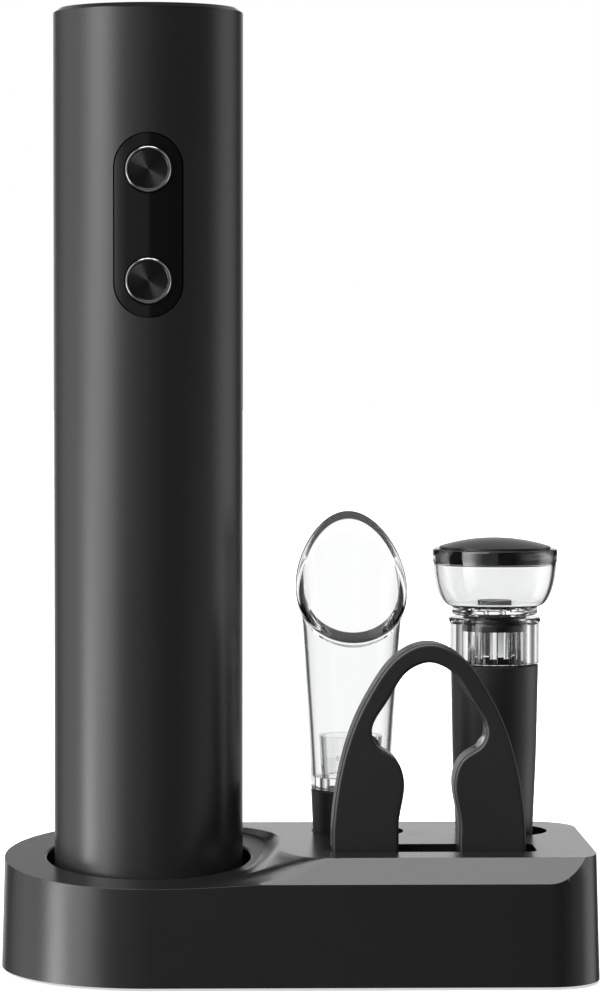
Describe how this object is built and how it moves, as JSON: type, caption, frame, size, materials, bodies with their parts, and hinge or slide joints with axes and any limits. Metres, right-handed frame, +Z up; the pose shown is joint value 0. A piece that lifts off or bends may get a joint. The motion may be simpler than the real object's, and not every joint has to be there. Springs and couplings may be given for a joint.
{
  "type": "electric wine opener set",
  "caption": "Cordless tube-shaped electric corkscrew standing in a storage stand with an aerating pourer, a vacuum pump stopper and a foil cutter.",
  "frame": {"origin": "middle of the stand's footprint, on the surface it stands on", "axes": "+Z up along the opener, +X along the stand from the opener to the accessories, -Y the front with the buttons"},
  "size_m": [0.147, 0.0734, 0.2385],
  "materials": {
    "stand_black": "semi-gloss fine texture",
    "black_plastic": "moulded matte",
    "foot_rubber": "matte",
    "steel": "bright",
    "anodised_black": "matte black anodised",
    "polished_black": "polished black",
    "gear_plastic": "moulded acetal",
    "bronze": "sintered",
    "gloss_black": "piano black",
    "button_metal": "dark spun face with a bright rim",
    "circuit_board": "solder mask",
    "cell_wrap": "shrink wrap",
    "magnet": "sintered",
    "worm_steel": "polished",
    "soft_rubber": "satin",
    "clear_acrylic": "clear polished",
    "nut_grey": "satin",
    "cap_black": "satin gloss",
    "cutter_black": "satin",
    "wheel_steel": "ground"
  },
  "bodies": {
    "stand": {"stand_shell": "stand_black", "stand_bottom_cover": "black_plastic", "stand_feet": "foot_rubber", "stand_screws": "steel", "well_pad": "foot_rubber", "well_liner": "foot_rubber"},
    "opener": {"opener_tube": "anodised_black", "opener_top_cap": "polished_black", "bottle_guide": "black_plastic", "cork_chamber": "black_plastic", "gear_bulkhead": "steel", "gearbox_screws": "steel", "gear_ring_housing": "gear_plastic", "spindle_bush": "bronze", "chassis_front": "black_plastic", "chassis_rear": "black_plastic", "chassis_screws": "steel", "button_panel": "gloss_black", "control_board": "circuit_board", "tact_switches": "black_plastic", "charge_board": "circuit_board", "usb_port": "steel", "battery_cell": "cell_wrap", "battery_tabs": "steel", "motor_can": "steel", "motor_magnets": "magnet", "motor_end_bell": "gear_plastic"},
    "up_button": {"up_button": "button_metal"},
    "down_button": {"down_button": "button_metal"},
    "worm": {"output_carrier": "steel", "worm_holder": "gear_plastic", "corkscrew_worm": "worm_steel"},
    "output_planet_1": {"output_planet_1": "gear_plastic"},
    "output_planet_2": {"output_planet_2": "gear_plastic"},
    "output_planet_3": {"output_planet_3": "gear_plastic"},
    "first_stage": {"first_carrier": "steel"},
    "first_planet_1": {"first_planet_1": "gear_plastic"},
    "first_planet_2": {"first_planet_2": "gear_plastic"},
    "first_planet_3": {"first_planet_3": "gear_plastic"},
    "rotor": {"motor_pinion": "bronze", "motor_rotor": "steel"},
    "pourer": {"pourer_plug": "soft_rubber", "pourer_spout": "clear_acrylic", "pourer_air_tube": "clear_acrylic"},
    "stopper": {"stopper_sleeve": "soft_rubber", "check_valve": "soft_rubber", "pump_barrel": "clear_acrylic"},
    "pump_knob": {"pump_piston": "clear_acrylic", "piston_seal": "soft_rubber", "pump_gland": "soft_rubber", "pump_nut": "nut_grey", "pump_bowl": "clear_acrylic", "pump_ring": "cap_black", "pump_cap": "cap_black"},
    "cutter": {"cutter_frame": "cutter_black", "cutter_axles": "steel"},
    "cutter_wheel_left": {"cutter_wheel_left": "wheel_steel"},
    "cutter_wheel_right": {"cutter_wheel_right": "wheel_steel"}
  },
  "joints": [
    {"name": "opener_lift", "type": "slide", "parent": "stand", "child": "opener", "axis": [0, 0, 1], "range_m": [0, 0.15]},
    {"name": "pourer_lift", "type": "slide", "parent": "stand", "child": "pourer", "axis": [0, 0, 1], "range_m": [0, 0.08]},
    {"name": "stopper_lift", "type": "slide", "parent": "stand", "child": "stopper", "axis": [0, 0, 1], "range_m": [0, 0.08]},
    {"name": "cutter_lift", "type": "slide", "parent": "stand", "child": "cutter", "axis": [0, 0, 1], "range_m": [0, 0.08]},
    {"name": "up_button_press", "type": "slide", "parent": "opener", "child": "up_button", "axis": [0, 1, 0], "range_m": [0, 0.0008], "stiffness_N_per_m": 2500},
    {"name": "down_button_press", "type": "slide", "parent": "opener", "child": "down_button", "axis": [0, 1, 0], "range_m": [0, 0.0008], "stiffness_N_per_m": 2500},
    {"name": "worm_spin", "type": "hinge", "parent": "opener", "child": "worm", "pos_m": [-0.03675, 0, 0.08], "axis": [0, 0, 1], "continuous": true},
    {"name": "output_planet_1_spin", "type": "hinge", "parent": "worm", "child": "output_planet_1", "pos_m": [-0.02775, 0, 0.11], "axis": [0, 0, 1], "continuous": true},
    {"name": "output_planet_2_spin", "type": "hinge", "parent": "worm", "child": "output_planet_2", "pos_m": [-0.04125, 0.00779, 0.11], "axis": [0, 0, 1], "continuous": true},
    {"name": "output_planet_3_spin", "type": "hinge", "parent": "worm", "child": "output_planet_3", "pos_m": [-0.04125, -0.00779, 0.11], "axis": [0, 0, 1], "continuous": true},
    {"name": "first_stage_spin", "type": "hinge", "parent": "opener", "child": "first_stage", "pos_m": [-0.03675, 0, 0.116], "axis": [0, 0, 1], "continuous": true},
    {"name": "first_planet_1_spin", "type": "hinge", "parent": "first_stage", "child": "first_planet_1", "pos_m": [-0.02775, 0, 0.12], "axis": [0, 0, 1], "continuous": true},
    {"name": "first_planet_2_spin", "type": "hinge", "parent": "first_stage", "child": "first_planet_2", "pos_m": [-0.04125, 0.00779, 0.12], "axis": [0, 0, 1], "continuous": true},
    {"name": "first_planet_3_spin", "type": "hinge", "parent": "first_stage", "child": "first_planet_3", "pos_m": [-0.04125, -0.00779, 0.12], "axis": [0, 0, 1], "continuous": true},
    {"name": "rotor_spin", "type": "hinge", "parent": "opener", "child": "rotor", "pos_m": [-0.03675, 0, 0.14], "axis": [0, 0, 1], "continuous": true},
    {"name": "pump_stroke", "type": "slide", "parent": "stopper", "child": "pump_knob", "axis": [0, 0, 1], "range_m": [0, 0.03]},
    {"name": "cutter_wheel_left_spin", "type": "hinge", "parent": "cutter", "child": "cutter_wheel_left", "pos_m": [0.01675, -0.0144, 0.0565], "axis": [0, 1, 0], "continuous": true},
    {"name": "cutter_wheel_right_spin", "type": "hinge", "parent": "cutter", "child": "cutter_wheel_right", "pos_m": [0.04715, -0.0144, 0.0565], "axis": [0, 1, 0], "continuous": true}
  ],
  "couplings": [
    {"joint": "output_planet_1_spin", "follows": "worm_spin", "ratio": -2.6667},
    {"joint": "output_planet_2_spin", "follows": "worm_spin", "ratio": -2.6667},
    {"joint": "output_planet_3_spin", "follows": "worm_spin", "ratio": -2.6667},
    {"joint": "first_stage_spin", "follows": "worm_spin", "ratio": 5},
    {"joint": "first_planet_1_spin", "follows": "worm_spin", "ratio": -13.333},
    {"joint": "first_planet_2_spin", "follows": "worm_spin", "ratio": -13.333},
    {"joint": "first_planet_3_spin", "follows": "worm_spin", "ratio": -13.333},
    {"joint": "rotor_spin", "follows": "worm_spin", "ratio": 25}
  ]
}
